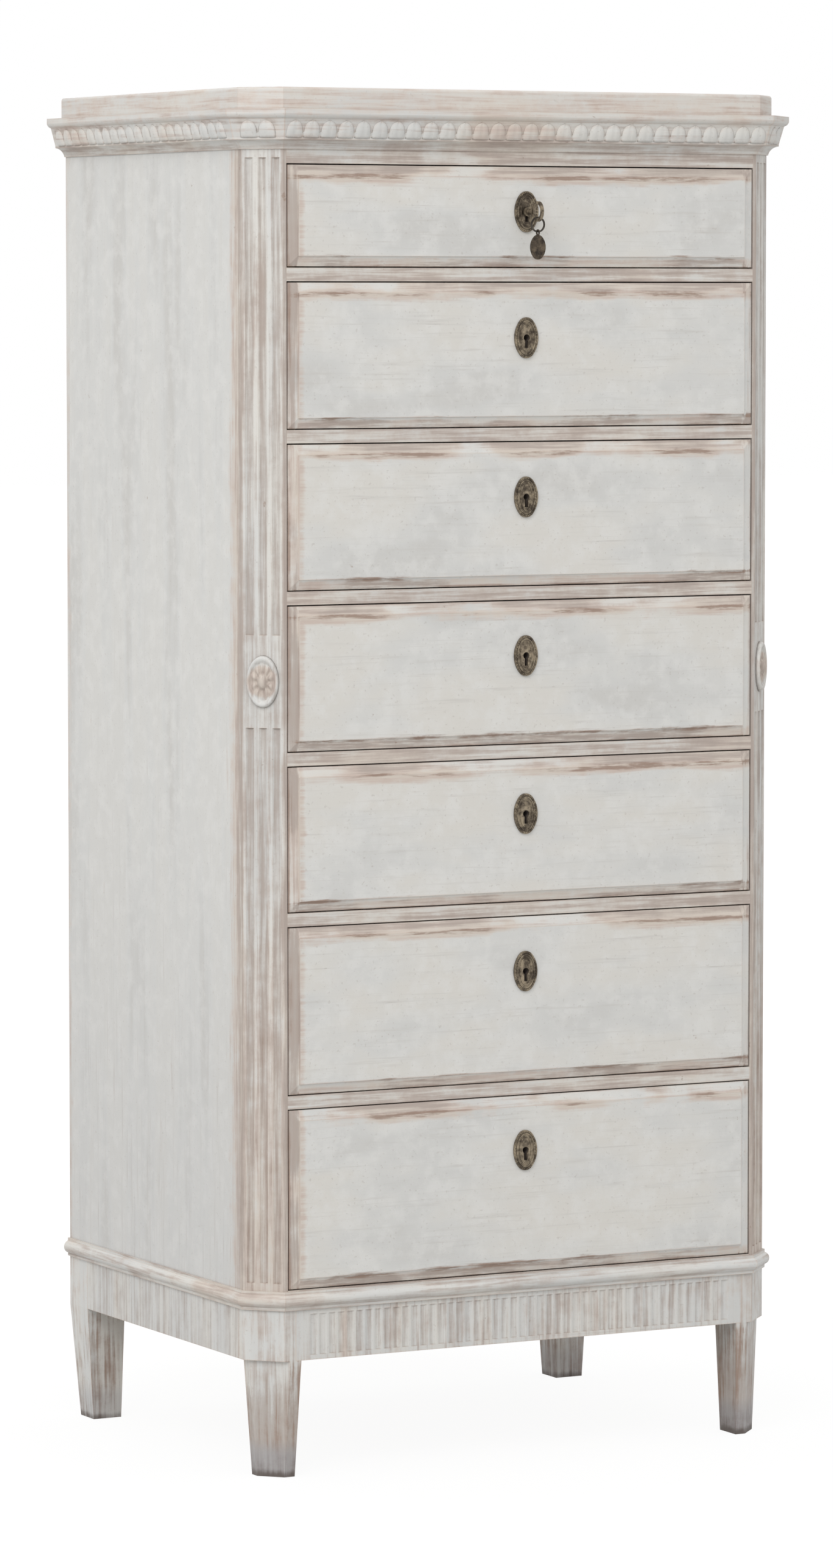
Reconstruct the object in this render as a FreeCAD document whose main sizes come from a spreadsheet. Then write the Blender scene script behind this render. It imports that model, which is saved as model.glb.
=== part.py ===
import FreeCAD, Part
import math
import os
import re
import Sketcher

# Driving sizes in millimetres. X runs to the right, the front looks along -Y and Z is up.
SIZES = {
    # Plan of the carcass
    "carcass_width": 588,
    "carcass_depth": 432,
    "cant": 30,
    "post_width": 33.5,
    "post_depth": 37,
    "side_thickness": 20,
    "back_thickness": 10,
    "back_board_gap": 0.8,
    # Heights, from the floor up
    "leg_length": 115,
    "apron_height": 50,
    "plinth_height": 18.5,
    "bottom_reveal": 1,
    "opening_7": 177.5,
    "opening_6": 165,
    "opening_5": 143,
    "opening_4": 143,
    "opening_3": 143,
    "opening_2": 143,
    "opening_1": 100,
    "rail_thickness": 13,
    "top_reveal": 13.5,
    "cornice_height": 38.5,
    "top_thickness": 21,
    "sub_top_thickness": 18,
    # Top board
    "top_overhang": 4.5,
    "top_edge_radius": 3,
    # Cornice profile, measured out from the carcass and up from its lower edge
    "cornice_foot_out": 1.5,
    "cornice_bed_out": 11.5,
    "cornice_bed_height": 9,
    "cornice_fillet_height": 2,
    "cornice_band_out": 16.5,
    "cornice_band_height": 18,
    "cornice_projection": 21,
    "cornice_crown_height": 5,
    "cornice_cove_radius": 11,
    "cornice_ovolo_radius": 6,
    # Base moulding profile
    "plinth_fillet_out": 2.5,
    "plinth_projection": 7,
    "plinth_fillet_height": 3,
    "plinth_bead_radius": 6.6,
    # Flutes and rosettes of the canted corners
    "post_flute_count": 3,
    "post_flute_pitch": 13.6,
    "post_flute_width": 8.4,
    "post_flute_depth": 2.2,
    "post_flute_end": 8,
    "rosette_level": 778,
    "rosette_clear": 45,
    "rosette_width": 33,
    "rosette_height": 51,
    "rosette_thickness": 4,
    "rosette_boss_width": 15,
    "rosette_boss_height": 24,
    "rosette_boss_thickness": 3,
    # Aprons and legs
    "apron_thickness": 20,
    "apron_flute_pitch": 10.1,
    "apron_flute_width": 8.2,
    "apron_flute_depth": 1.2,
    "apron_flute_end": 5,
    "apron_flute_margin": 12,
    "leg_block": 42,
    "front_leg_inset": 6,
    "leg_outer_taper": 7,
    "leg_inner_taper": 4,
    "rear_leg_back_taper": 10,
    "rear_leg_front_taper": 1,
    "leg_cant_taper": 2.8,
    # Rails, runners, guides and stops
    "rail_depth": 65,
    "runner_width": 30,
    "guide_height": 12,
    "stop_spacing": 300,
    "stop_width": 25,
    "stop_length": 12,
    "stop_height": 6,
    "stop_gap": 0.2,
    # Drawer fronts
    "front_side_gap": 1.2,
    "front_foot_gap": 1.2,
    "front_head_gap": 1.3,
    "front_setback": 0.5,
    "front_edge_thickness": 16,
    "bevel_width": 10,
    "bevel_rise": 3,
    "field_step": 1.2,
    "front_lap": 6,
    # Drawer boxes
    "box_side_thickness": 11,
    "box_back_thickness": 10,
    "box_bottom_thickness": 7,
    "box_bottom_rise": 9,
    "box_head_gap": 8,
    "box_back_drop": 6,
    "box_rear_gap": 12,
    "groove_depth": 5,
    "groove_play": 0.2,
    "running_gap": 0.2,
    # Locks and bolts
    "lock_drop": 55,
    "lock_drop_1": 45,
    "lock_width": 56,
    "lock_depth": 10,
    "lock_below_key": 15,
    "lock_wall": 3,
    "lock_cap": 2.5,
    "lock_fit": 0.2,
    "bolt_width": 20,
    "bolt_thickness": 4,
    "bolt_fit": 0.2,
    "bolt_head_rise": 5,
    "bolt_talon_low": 4.8,
    "bolt_talon_near": 3.5,
    "bolt_talon_far": 8.5,
    "bolt_mortise_depth": 9,
    "bolt_mortise_play": 1,
    # Keyholes and escutcheons
    "keyhole_radius": 3.4,
    "keyhole_slot_width": 3.6,
    "keyhole_slot_drop": 10,
    "escutcheon_width": 26,
    "escutcheon_height": 40,
    "escutcheon_thickness": 2,
    "oval_end_share": 0.7,
    # Key, ring and tag
    "key_reach": 38,
    "key_shank_radius": 2.8,
    "key_collar_radius": 4.6,
    "key_collar_gap": 0.6,
    "key_collar_length": 3,
    "key_bit_reach": 9,
    "key_bit_width": 3,
    "key_bit_thickness": 3.4,
    "key_bow_width": 20,
    "key_bow_rim": 3,
    "key_bow_thickness": 2.6,
    "key_ring_radius": 7,
    "key_ring_wire": 0.7,
    "key_ring_slack": 0.65,
    "tag_width": 16.5,
    "tag_height": 24,
    "tag_thickness": 2,
    "bail_hole_radius": 1.9,
    "bail_rim": 1.2,
    "bail_thickness": 1.2,
    "bail_slack": 0.4,
    "bail_sink": 0.8,
}

DRAWERS = range(1, 8)
LEFT, RIGHT = -1, 1

# Levels and positions that follow from the driving sizes.
FOLLOWING = {
    "half_width": "carcass_width / 2",
    "front_plane": "(key_reach - carcass_depth) / 2",
    "back_plane": "front_plane + carcass_depth",
    "post_inner": "half_width - post_width",
    "side_inner": "half_width - side_thickness",
    "inner_back": "back_plane - back_thickness",
    "rail_back": "front_plane + rail_depth",
    "post_back": "front_plane + post_depth",
    "base_top": "leg_length + apron_height",
    "plinth_top": "base_top + plinth_height",
    "floor_7": "plinth_top + bottom_reveal",
    "floor_6": "floor_7 + opening_7 + rail_thickness",
    "floor_5": "floor_6 + opening_6 + rail_thickness",
    "floor_4": "floor_5 + opening_5 + rail_thickness",
    "floor_3": "floor_4 + opening_4 + rail_thickness",
    "floor_2": "floor_3 + opening_3 + rail_thickness",
    "floor_1": "floor_2 + opening_2 + rail_thickness",
    "head_1": "floor_1 + opening_1",
    "cornice_low": "head_1 + top_reveal",
    "carcass_top": "cornice_low + cornice_height",
    # Extra length of a moulding per unit of projection where it meets the canted corner
    "mitre": "sqrt(2) - 1",
    "cant_face": "cant * sqrt(2)",
    # Drawer parts
    "front_half": "post_inner - front_side_gap",
    "front_back": "front_plane + front_setback + front_edge_thickness",
    "field_plane": "front_plane + front_setback - bevel_rise - field_step",
    "front_thickness": "front_edge_thickness + bevel_rise + field_step",
    "rebate_depth": "front_edge_thickness - front_lap",
    "box_inner": "front_half - box_side_thickness",
    "box_rear": "inner_back - box_rear_gap",
    "groove_height": "box_bottom_thickness + groove_play",
    "bolt_front": "front_back - lock_cap - bolt_fit - bolt_thickness",
    # Key, with the ring hanging in its bow
    "key_level": "floor_1 + opening_1 - lock_drop_1",
    "bow_centre": "front_plane - key_reach + key_bow_width / 2",
    "ring_pivot_drop": "key_bow_width / 2 - key_bow_rim / 2",
    "ring_drop": "ring_pivot_drop + key_ring_radius - key_ring_wire - key_bow_rim / 2 - key_ring_slack",
    "wire_drop": "ring_drop + key_ring_radius",
    "bail_drop": "wire_drop - key_ring_wire - bail_slack + bail_hole_radius",
    "tag_top_drop": "bail_drop + bail_hole_radius + bail_rim - bail_sink",
}

doc = FreeCAD.newDocument("semainier")
sheet = doc.addObject("Spreadsheet::Sheet", "sizes")
for row, (size_name, size) in enumerate(SIZES.items(), start=1):
    sheet.set("A%d" % row, size_name)
    sheet.set("B%d" % row, str(size))
    sheet.setAlias("B%d" % row, size_name)
doc.recompute()


def formula(text):
    """Turn the size names in a formula into references to the sheet."""

    def swap(match):
        word = match.group(0)
        if word in FOLLOWING:
            return "(" + formula(FOLLOWING[word]) + ")"
        if word in SIZES:
            return "sizes." + word
        return word

    return re.sub(r"[a-z_][a-z_0-9]*", swap, text)


def value(text):
    """Work out a formula with the present sizes."""
    return float(sheet.evalExpression(formula(text)))


def place(piece, corner, turn=0):
    """Put a piece at a corner given by formulas, turned about Z by some degrees."""
    piece.Placement = FreeCAD.Placement(FreeCAD.Vector(), FreeCAD.Rotation(FreeCAD.Vector(0, 0, 1), turn))
    for axis, text in zip("xyz", corner):
        piece.setExpression("Placement.Base.%s" % axis, formula(text))


def board(name, x_span, y_span, z_span):
    """A box between pairs of formulas along X, Y and Z."""
    piece = doc.addObject("Part::Box", name)
    spans = (x_span, y_span, z_span)
    for side, (low, high) in zip(("Length", "Width", "Height"), spans):
        piece.setExpression(side, formula("(%s) - (%s)" % (high, low)))
    place(piece, [low for low, high in spans])
    return piece


def across(half):
    """A span from side to side about the middle."""
    return "-(%s)" % half, half


def at_side(side, inner, outer):
    """A span between two distances from the middle, on the left or on the right."""
    if side == LEFT:
        return "-(%s)" % outer, "-(%s)" % inner
    return inner, outer


def cut(name, base, tools):
    """Take several tools out of a base."""
    for number, tool in enumerate(tools, start=1):
        result = doc.addObject("Part::Cut", "%s_cut_%d" % (name, number))
        result.Base = base
        result.Tool = tool
        base = result
    return base


def group(name, members):
    """One named group of separate solids."""
    piece = doc.addObject("Part::Compound", name)
    piece.Links = members
    return piece


def new_body(name):
    return doc.addObject("PartDesign::Body", name)


def new_sketch(body, role, lift="0", shift=("0", "0")):
    """A sketch on an origin plane of its body, lifted along the normal and shifted in the plane."""
    sketch = body.newObject("Sketcher::SketchObject", body.Name + "_sketch")
    support = next(plane for plane in body.Origin.OriginFeatures if plane.Role == role)
    sketch.AttachmentSupport = [(support, "")]
    sketch.MapMode = "FlatFace"
    for axis, text in zip("xyz", (shift[0], shift[1], lift)):
        sketch.setExpression("AttachmentOffset.Base.%s" % axis, formula(text))
    return sketch


def bind(sketch, kind, where, text):
    """Add a dimension to a sketch and tie it to a formula."""
    index = sketch.addConstraint(Sketcher.Constraint(kind, *where, value(text)))
    sketch.setExpression("Constraints[%d]" % index, formula(text))


def arc_between(start, end, radius):
    """An arc from start to end: a positive radius turns left, a negative one turns right."""
    chord = end - start
    middle = (start + end) * 0.5
    left = FreeCAD.Vector(-chord.y, chord.x, 0).normalize()
    rise = abs(radius) - math.sqrt(max(radius * radius - chord.Length * chord.Length / 4, 0))
    crest = middle - left * math.copysign(rise, radius)
    return Part.Arc(start, crest, end)


def outline(sketch, points):
    """A closed outline through points (x, y), or (x, y, radius) where an arc leads to that point."""
    corners = [FreeCAD.Vector(value(point[0]), value(point[1]), 0) for point in points]
    ends = []
    for number, corner in enumerate(corners):
        target = points[(number + 1) % len(points)]
        next_corner = corners[(number + 1) % len(points)]
        if len(target) == 2:
            sketch.addGeometry(Part.LineSegment(corner, next_corner), False)
            start_end = (1, 2)
        else:
            index = sketch.addGeometry(arc_between(corner, next_corner, value(target[2])), False)
            forward = sketch.getPoint(index, 1).distanceToPoint(corner) < 1e-6
            start_end = (1, 2) if forward else (2, 1)
        ends.append(start_end)
    first = sketch.GeometryCount - len(points)
    for number, point in enumerate(points):
        following = (number + 1) % len(points)
        link = (first + number, ends[number][1], first + following, ends[following][0])
        sketch.addConstraint(Sketcher.Constraint("Coincident", *link))
        bind(sketch, "DistanceX", (-1, 1, first + number, ends[number][0]), point[0])
        bind(sketch, "DistanceY", (-1, 1, first + number, ends[number][0]), point[1])
        target = points[following]
        if len(target) == 3:
            bind(sketch, "Radius", (first + number,), "abs(%s)" % target[2])


def rectangle(sketch, x_span, y_span):
    x_low, x_high = x_span
    y_low, y_high = y_span
    outline(sketch, [(x_low, y_low), (x_high, y_low), (x_high, y_high), (x_low, y_high)])


def circle(sketch, centre_y, radius):
    """A circle on the upright axis of the sketch."""
    centre = FreeCAD.Vector(0, value(centre_y), 0)
    index = sketch.addGeometry(Part.Circle(centre, FreeCAD.Vector(0, 0, 1), value(radius)), False)
    sketch.addConstraint(Sketcher.Constraint("PointOnObject", index, 3, -2))
    bind(sketch, "DistanceY", (-1, 1, index, 3), centre_y)
    bind(sketch, "Radius", (index,), radius)


def oval(sketch, width, height, centre_y="0"):
    """An upright oval of four arcs on the upright axis of the sketch."""
    half_width, half_height = "(%s) / 2" % width, "(%s) / 2" % height
    end_radius = "oval_end_share * %s" % half_width
    end_centre = "(%s - %s)" % (half_height, end_radius)
    side_radius = "((%s)^2 + %s^2 - (%s)^2) / (2 * (%s - %s))" % (
        half_width, end_centre, end_radius, half_width, end_radius)
    side_centre = "(%s - %s)" % (side_radius, half_width)
    turn = "%s / (%s - %s)" % (side_radius, side_radius, end_radius)
    join_x = "%s * (%s - 1)" % (side_centre, turn)
    join_y = "%s * %s" % (end_centre, turn)
    above, below = "%s + %s" % (centre_y, join_y), "%s - %s" % (centre_y, join_y)
    outline(sketch, [
        (join_x, below, end_radius),
        (join_x, above, side_radius),
        ("-(%s)" % join_x, above, end_radius),
        ("-(%s)" % join_x, below, side_radius),
    ])


def pad(body, sketch, length, backward=False):
    feature = body.newObject("PartDesign::Pad", body.Name + "_pad")
    feature.Profile = sketch
    feature.setExpression("Length", formula(length))
    feature.Reversed = backward
    doc.recompute()
    return feature


def pocket(body, sketch, length, backward=False, both_ways=False):
    """Cut a sketch into the body, against its normal unless told otherwise, and see that it cuts."""
    before = body.Shape.Volume
    feature = body.newObject("PartDesign::Pocket", body.Name + "_pocket")
    feature.Profile = sketch
    feature.setExpression("Length", formula(length))
    feature.Reversed = backward
    feature.Midplane = both_ways
    doc.recompute()
    if body.Shape.Volume >= before:
        raise RuntimeError("a pocket of %s takes nothing away" % body.Name)
    return feature


def row_of(body, feature, sketch, length, count):
    """Repeat a feature along the level axis of its sketch."""
    pattern = body.newObject("PartDesign::LinearPattern", body.Name + "_row")
    pattern.Originals = [feature]
    pattern.Direction = (sketch, ["H_Axis"])
    pattern.setExpression("Length", formula(length))
    pattern.setExpression("Occurrences", formula(count))
    body.Tip = pattern
    doc.recompute()
    return pattern


def rounded(body, feature, keep, radius):
    """Round the edges of a feature that pass a test."""
    names = ["Edge%d" % number for number, edge in enumerate(feature.Shape.Edges, start=1) if keep(edge)]
    fillet = body.newObject("PartDesign::Fillet", body.Name + "_round")
    fillet.Base = (feature, names)
    fillet.setExpression("Radius", formula(radius))
    doc.recompute()
    return fillet


def flutes(body, low, high, width, depth, pitch, count):
    """A row of hollow flutes about the middle of the face that lies on the body's XZ plane."""
    radius = "(((%s) / 2)^2 + (%s)^2) / (2 * (%s))" % (width, depth, depth)
    length = "(%s - 1) * (%s)" % (count, pitch)
    hollow = new_sketch(body, "XY_Plane", lift=high, shift=("-(%s) / 2" % length, "0"))
    outline(hollow, [("(%s) / 2" % width, "0"), ("-(%s) / 2" % width, "0", radius)])
    groove = pocket(body, hollow, "(%s) - (%s)" % (high, low))
    row_of(body, groove, hollow, length, count)


# Side panels, sub top, bottom board and back boards
def side_panel(name, side):
    return board(name, at_side(side, "side_inner", "half_width"),
                 ("post_back", "back_plane"), ("base_top", "carcass_top"))


def back_boards():
    count = 4
    width = "(2 * side_inner - %d * back_board_gap) / %d" % (count - 1, count)
    boards = []
    for number in range(count):
        left = "-side_inner + %d * (%s + back_board_gap)" % (number, width)
        right = "%s + %s" % (left, width)
        boards.append(board("back_board", (left, right), ("inner_back", "back_plane"), ("base_top", "carcass_top")))
    return group("back_boards", boards)


# Canted and fluted corner posts, drawn with the canted face on the body's XZ plane
def corner_post(name, side):
    post = new_body(name)
    half_face = "cant_face / 2"
    front_flat = "(post_width - cant) / sqrt(2)"
    side_flat = "(post_depth - cant) / sqrt(2)"
    deep = "post_depth / sqrt(2)"
    toward_front = -side
    section = [
        ("-(%s)" % half_face, "0"),
        (half_face, "0"),
        ("%s + %s" % (half_face, front_flat), front_flat),
        ("%s + %s - %s" % (half_face, front_flat, deep), "%s + %s" % (front_flat, deep)),
        ("-(%s) - %s" % (half_face, side_flat), side_flat),
    ]
    sketch = new_sketch(post, "XY_Plane")
    outline(sketch, [("%d * (%s)" % (toward_front, x), y) for x, y in section])
    pad(post, sketch, "carcass_top - base_top")
    stretches = [
        ("plinth_top + post_flute_end", "rosette_level - rosette_clear"),
        ("rosette_level + rosette_clear", "cornice_low - post_flute_end"),
    ]
    for low, high in stretches:
        flutes(post, "%s - base_top" % low, "%s - base_top" % high,
               "post_flute_width", "post_flute_depth", "post_flute_pitch", "post_flute_count")
    place(post, ("%d * (half_width - cant / 2)" % side, "front_plane + cant / 2", "base_top"), 45 * side)
    return post


def rosette(name, side):
    """An oval rosette on a canted corner: a plate with a boss."""
    body = new_body(name)
    plate = new_sketch(body, "XZ_Plane")
    oval(plate, "rosette_width", "rosette_height")
    pad(body, plate, "rosette_thickness")
    boss = new_sketch(body, "XZ_Plane", lift="rosette_thickness")
    oval(boss, "rosette_boss_width", "rosette_boss_height")
    pad(body, boss, "rosette_boss_thickness")
    place(body, ("%d * (half_width - cant / 2)" % side, "front_plane + cant / 2", "rosette_level"), 45 * side)
    return body


# Mouldings: lengths of one profile, mitred at the canted corners
def moulding_length(name, profile, reach, half_length, ends, corner, turn):
    """A length of moulding along X whose back lies on the body's XZ plane."""
    body = new_body(name)
    sketch = new_sketch(body, "YZ_Plane", lift="-(%s) - mitre * %s" % (half_length, reach))
    outline(sketch, [("-(%s)" % point[0],) + point[1:] for point in profile])
    pad(body, sketch, "2 * ((%s) + mitre * %s)" % (half_length, reach))
    tall = profile[-1][1]
    for end in (LEFT, RIGHT):
        far = "%d * ((%s) + mitre * %s)" % (end, half_length, reach)
        near = "%d * (%s)" % (end, half_length)
        waste = new_sketch(body, "XY_Plane", lift=tall)
        if end in ends:
            outline(waste, [(near, "0"), (far, "0"), (far, "-(%s)" % reach)])
        else:
            outline(waste, [(near, "0"), (far, "0"), (far, "-(%s)" % reach), (near, "-(%s)" % reach)])
        pocket(body, waste, tall)
    place(body, corner, turn)
    return body


def moulding(name, profile, reach, level):
    """Five lengths round the front: left side, left corner, front, right corner, right side."""
    side_half = "(carcass_depth - cant) / 2"
    side_middle = "front_plane + cant + %s" % side_half
    lengths = [moulding_length(name + "_front", profile, reach, "half_width - cant", (LEFT, RIGHT),
                               ("0", "front_plane", level), 0)]
    for side, word in ((LEFT, "left"), (RIGHT, "right")):
        corner = ("%d * (half_width - cant / 2)" % side, "front_plane + cant / 2", level)
        lengths.append(moulding_length("%s_corner_%s" % (name, word), profile, reach, "cant_face / 2",
                                       (LEFT, RIGHT), corner, 45 * side))
        middle = ("%d * half_width" % side, side_middle, level)
        lengths.append(moulding_length("%s_side_%s" % (name, word), profile, reach, side_half,
                                       (-side,), middle, 90 * side))
    return group(name, lengths)


def cornice():
    band_low = "cornice_bed_height + cornice_fillet_height"
    band_high = "%s + cornice_band_height" % band_low
    profile = [
        ("0", "0"),
        ("cornice_foot_out", "0"),
        ("cornice_bed_out", "cornice_bed_height", "cornice_cove_radius"),
        ("cornice_bed_out", band_low),
        ("cornice_band_out", band_high),
        ("cornice_projection", "cornice_height - cornice_crown_height", "-cornice_ovolo_radius"),
        ("cornice_projection", "cornice_height"),
        ("0", "cornice_height"),
    ]
    return moulding("cornice", profile, "cornice_projection", "cornice_low")


def plinth_moulding():
    bead_high = "plinth_height - plinth_fillet_height"
    profile = [
        ("0", "0"),
        ("plinth_fillet_out", "0"),
        ("plinth_fillet_out", "plinth_fillet_height"),
        ("plinth_fillet_out", bead_high, "-plinth_bead_radius"),
        ("plinth_fillet_out", "plinth_height"),
        ("0", "plinth_height"),
    ]
    return moulding("plinth_moulding", profile, "plinth_projection", "base_top")


# Top board with canted front corners
def top_board():
    body = new_body("top_board")
    sketch = new_sketch(body, "XY_Plane")
    edge = "half_width + top_overhang"
    corner_y = "cant - mitre * top_overhang"
    corner_x = "half_width - cant + mitre * top_overhang"
    outline(sketch, [
        ("-(%s)" % edge, "carcass_depth"),
        ("-(%s)" % edge, corner_y),
        ("-(%s)" % corner_x, "-top_overhang"),
        (corner_x, "-top_overhang"),
        (edge, corner_y),
        (edge, "carcass_depth"),
    ])
    slab = pad(body, sketch, "top_thickness")
    surface = value("top_thickness") - 1e-3
    rear = value("carcass_depth") - 1e-3
    rounded(body, slab, lambda e: e.BoundBox.ZMin > surface and e.BoundBox.YMin < rear, "top_edge_radius")
    place(body, ("0", "front_plane", "carcass_top"))
    return body


# Aprons between the legs
def apron_front():
    body = new_body("apron_front")
    half = "half_width - leg_block"
    sketch = new_sketch(body, "XZ_Plane")
    rectangle(sketch, across(half), ("0", "apron_height"))
    pad(body, sketch, "apron_thickness", backward=True)
    room = "2 * (%s - apron_flute_margin) - apron_flute_width" % half
    count = "floor((%s) / apron_flute_pitch) + 1" % room
    flutes(body, "apron_flute_end", "apron_height - apron_flute_end",
           "apron_flute_width", "apron_flute_depth", "apron_flute_pitch", "(%s)" % count)
    place(body, ("0", "front_plane", "leg_length"))
    return body


def apron_sides():
    boards = []
    for side in (LEFT, RIGHT):
        boards.append(board("apron_side", at_side(side, "half_width - apron_thickness", "half_width"),
                            ("front_plane + leg_block", "back_plane - leg_block"), ("leg_length", "base_top")))
    return group("apron_sides", boards)


def apron_back():
    return board("apron_back", across("half_width - leg_block"),
                 ("back_plane - apron_thickness", "back_plane"), ("leg_length", "base_top"))


# Tapered legs, drawn from the outer corner of their block inwards
def taper(body, role, sign, near, near_taper, far_taper):
    """Slope two opposite faces of a leg, given along one axis, from the aprons down to the floor."""
    far = "%s + leg_block" % near
    for face, shift in ((near, near_taper), (far, "-(%s)" % far_taper)):
        waste = new_sketch(body, role)
        corners = [(face, "leg_length"), (face, "0"), ("%s + %s" % (face, shift), "0")]
        outline(waste, [("%d * (%s)" % (sign, along), level) for along, level in corners])
        pocket(body, waste, "4 * leg_block", both_ways=True)


def cant_leg(body, side, near):
    """Cut the canted face of a front leg, a little further in at the foot."""
    waste = new_sketch(body, "XZ_Plane", shift=("%d * (%s)" % (-side, near), "0"))
    waste.AttachmentOffset.Rotation = FreeCAD.Rotation(FreeCAD.Vector(0, 1, 0), -45 * side)
    face = "cant / sqrt(2)"
    corners = [("-cant", "0"), ("%s + leg_cant_taper" % face, "0"), (face, "leg_length"), ("-cant", "leg_length")]
    outline(waste, [("%d * (%s)" % (-side, along), level) for along, level in corners])
    pocket(body, waste, "4 * leg_block", both_ways=True)


def leg(name, side, front):
    """A tapered leg with the block above it that stands between the aprons."""
    body = new_body(name)
    inward = 1 if front else -1
    near = "front_leg_inset" if front else "0"
    shank = new_sketch(body, "XY_Plane")
    far = "%s + leg_block" % near
    corners = [(near, "0"), (far, "0"), (far, "leg_block"), (near, "leg_block")]
    outline(shank, [("%d * (%s)" % (-side, x), "%d * (%s)" % (inward, y)) for x, y in corners])
    pad(body, shank, "leg_length")
    taper(body, "XZ_Plane", -side, near, "leg_outer_taper", "leg_inner_taper")
    if front:
        taper(body, "YZ_Plane", inward, "0", "leg_outer_taper", "leg_inner_taper")
        cant_leg(body, side, near)
    else:
        taper(body, "YZ_Plane", inward, "0", "rear_leg_back_taper", "rear_leg_front_taper")
    block = new_sketch(body, "XY_Plane", lift="leg_length")
    corners = [("0", "leg_block"), ("leg_block", "leg_block"), ("leg_block", "0")]
    if front:
        corners += [("cant", "0"), ("0", "cant")]
    else:
        corners += [("0", "0")]
    outline(block, [("%d * (%s)" % (-side, x), "%d * (%s)" % (inward, y)) for x, y in corners])
    pad(body, block, "apron_height")
    place(body, ("%d * half_width" % side, "front_plane" if front else "back_plane", "0"))
    return body


# Rails between the drawers, each with a mortise for the bolt of the drawer below
def lock_level(number):
    """Height of a drawer's keyhole."""
    drop = "lock_drop_1" if number == 1 else "lock_drop"
    return "floor_%d + opening_%d - %s" % (number, number, drop)


def bolt_mortise(number):
    ceiling = "floor_%d + opening_%d" % (number, number)
    return board("bolt_mortise", across("bolt_width / 2 + bolt_mortise_play"),
                 ("bolt_front - bolt_mortise_play", "bolt_front + bolt_thickness + bolt_mortise_play"),
                 (ceiling, "%s + bolt_mortise_depth" % ceiling))


def top_rail():
    rail = board("top_rail_wood", across("post_inner"), ("front_plane", "post_back"), ("head_1", "carcass_top"))
    return cut("top_rail", rail, [bolt_mortise(1)])


def drawer_rails():
    rails = []
    for number in DRAWERS:
        floor = "floor_%d" % number
        thickness = "plinth_height + bottom_reveal" if number == 7 else "rail_thickness"
        rail = board("rail", across("post_inner"), ("front_plane", "rail_back"),
                     ("%s - (%s)" % (floor, thickness), floor))
        if number < 7:
            rail = cut("rail", rail, [bolt_mortise(number + 1)])
        rails.append(rail)
    return group("drawer_rails", rails)


# Runners, guides and stops
def drawer_runners():
    strips = []
    for number in DRAWERS[:-1]:
        for side in (LEFT, RIGHT):
            floor = "floor_%d" % number
            strips.append(board("runner", at_side(side, "side_inner - runner_width", "side_inner"),
                                ("rail_back", "inner_back"), ("%s - rail_thickness" % floor, floor)))
    return group("drawer_runners", strips)


def drawer_guides():
    strips = []
    for number in DRAWERS:
        for side in (LEFT, RIGHT):
            floor = "floor_%d" % number
            strips.append(board("guide", at_side(side, "post_inner", "side_inner"),
                                ("rail_back", "inner_back"), (floor, "%s + guide_height" % floor)))
    return group("drawer_guides", strips)


def drawer_stops():
    blocks = []
    for number in DRAWERS:
        for side in (LEFT, RIGHT):
            floor = "floor_%d" % number
            span = at_side(side, "stop_spacing / 2 - stop_width / 2", "stop_spacing / 2 + stop_width / 2")
            blocks.append(board("stop", span, ("front_back + stop_gap", "front_back + stop_gap + stop_length"),
                                (floor, "%s + stop_height" % floor)))
    return group("drawer_stops", blocks)


# Drawer fronts: a fielded panel, worked from behind for the sides, the bottom and the lock
def cut_keyhole(body, level, lift, depth):
    """A round hole with a slot under it, cut back from a lifted plane."""
    head = new_sketch(body, "XZ_Plane", lift=lift)
    circle(head, level, "keyhole_radius")
    pocket(body, head, depth)
    slot = new_sketch(body, "XZ_Plane", lift=lift)
    rectangle(slot, across("keyhole_slot_width / 2"), ("%s - keyhole_slot_drop" % level, level))
    pocket(body, slot, depth)


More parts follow.
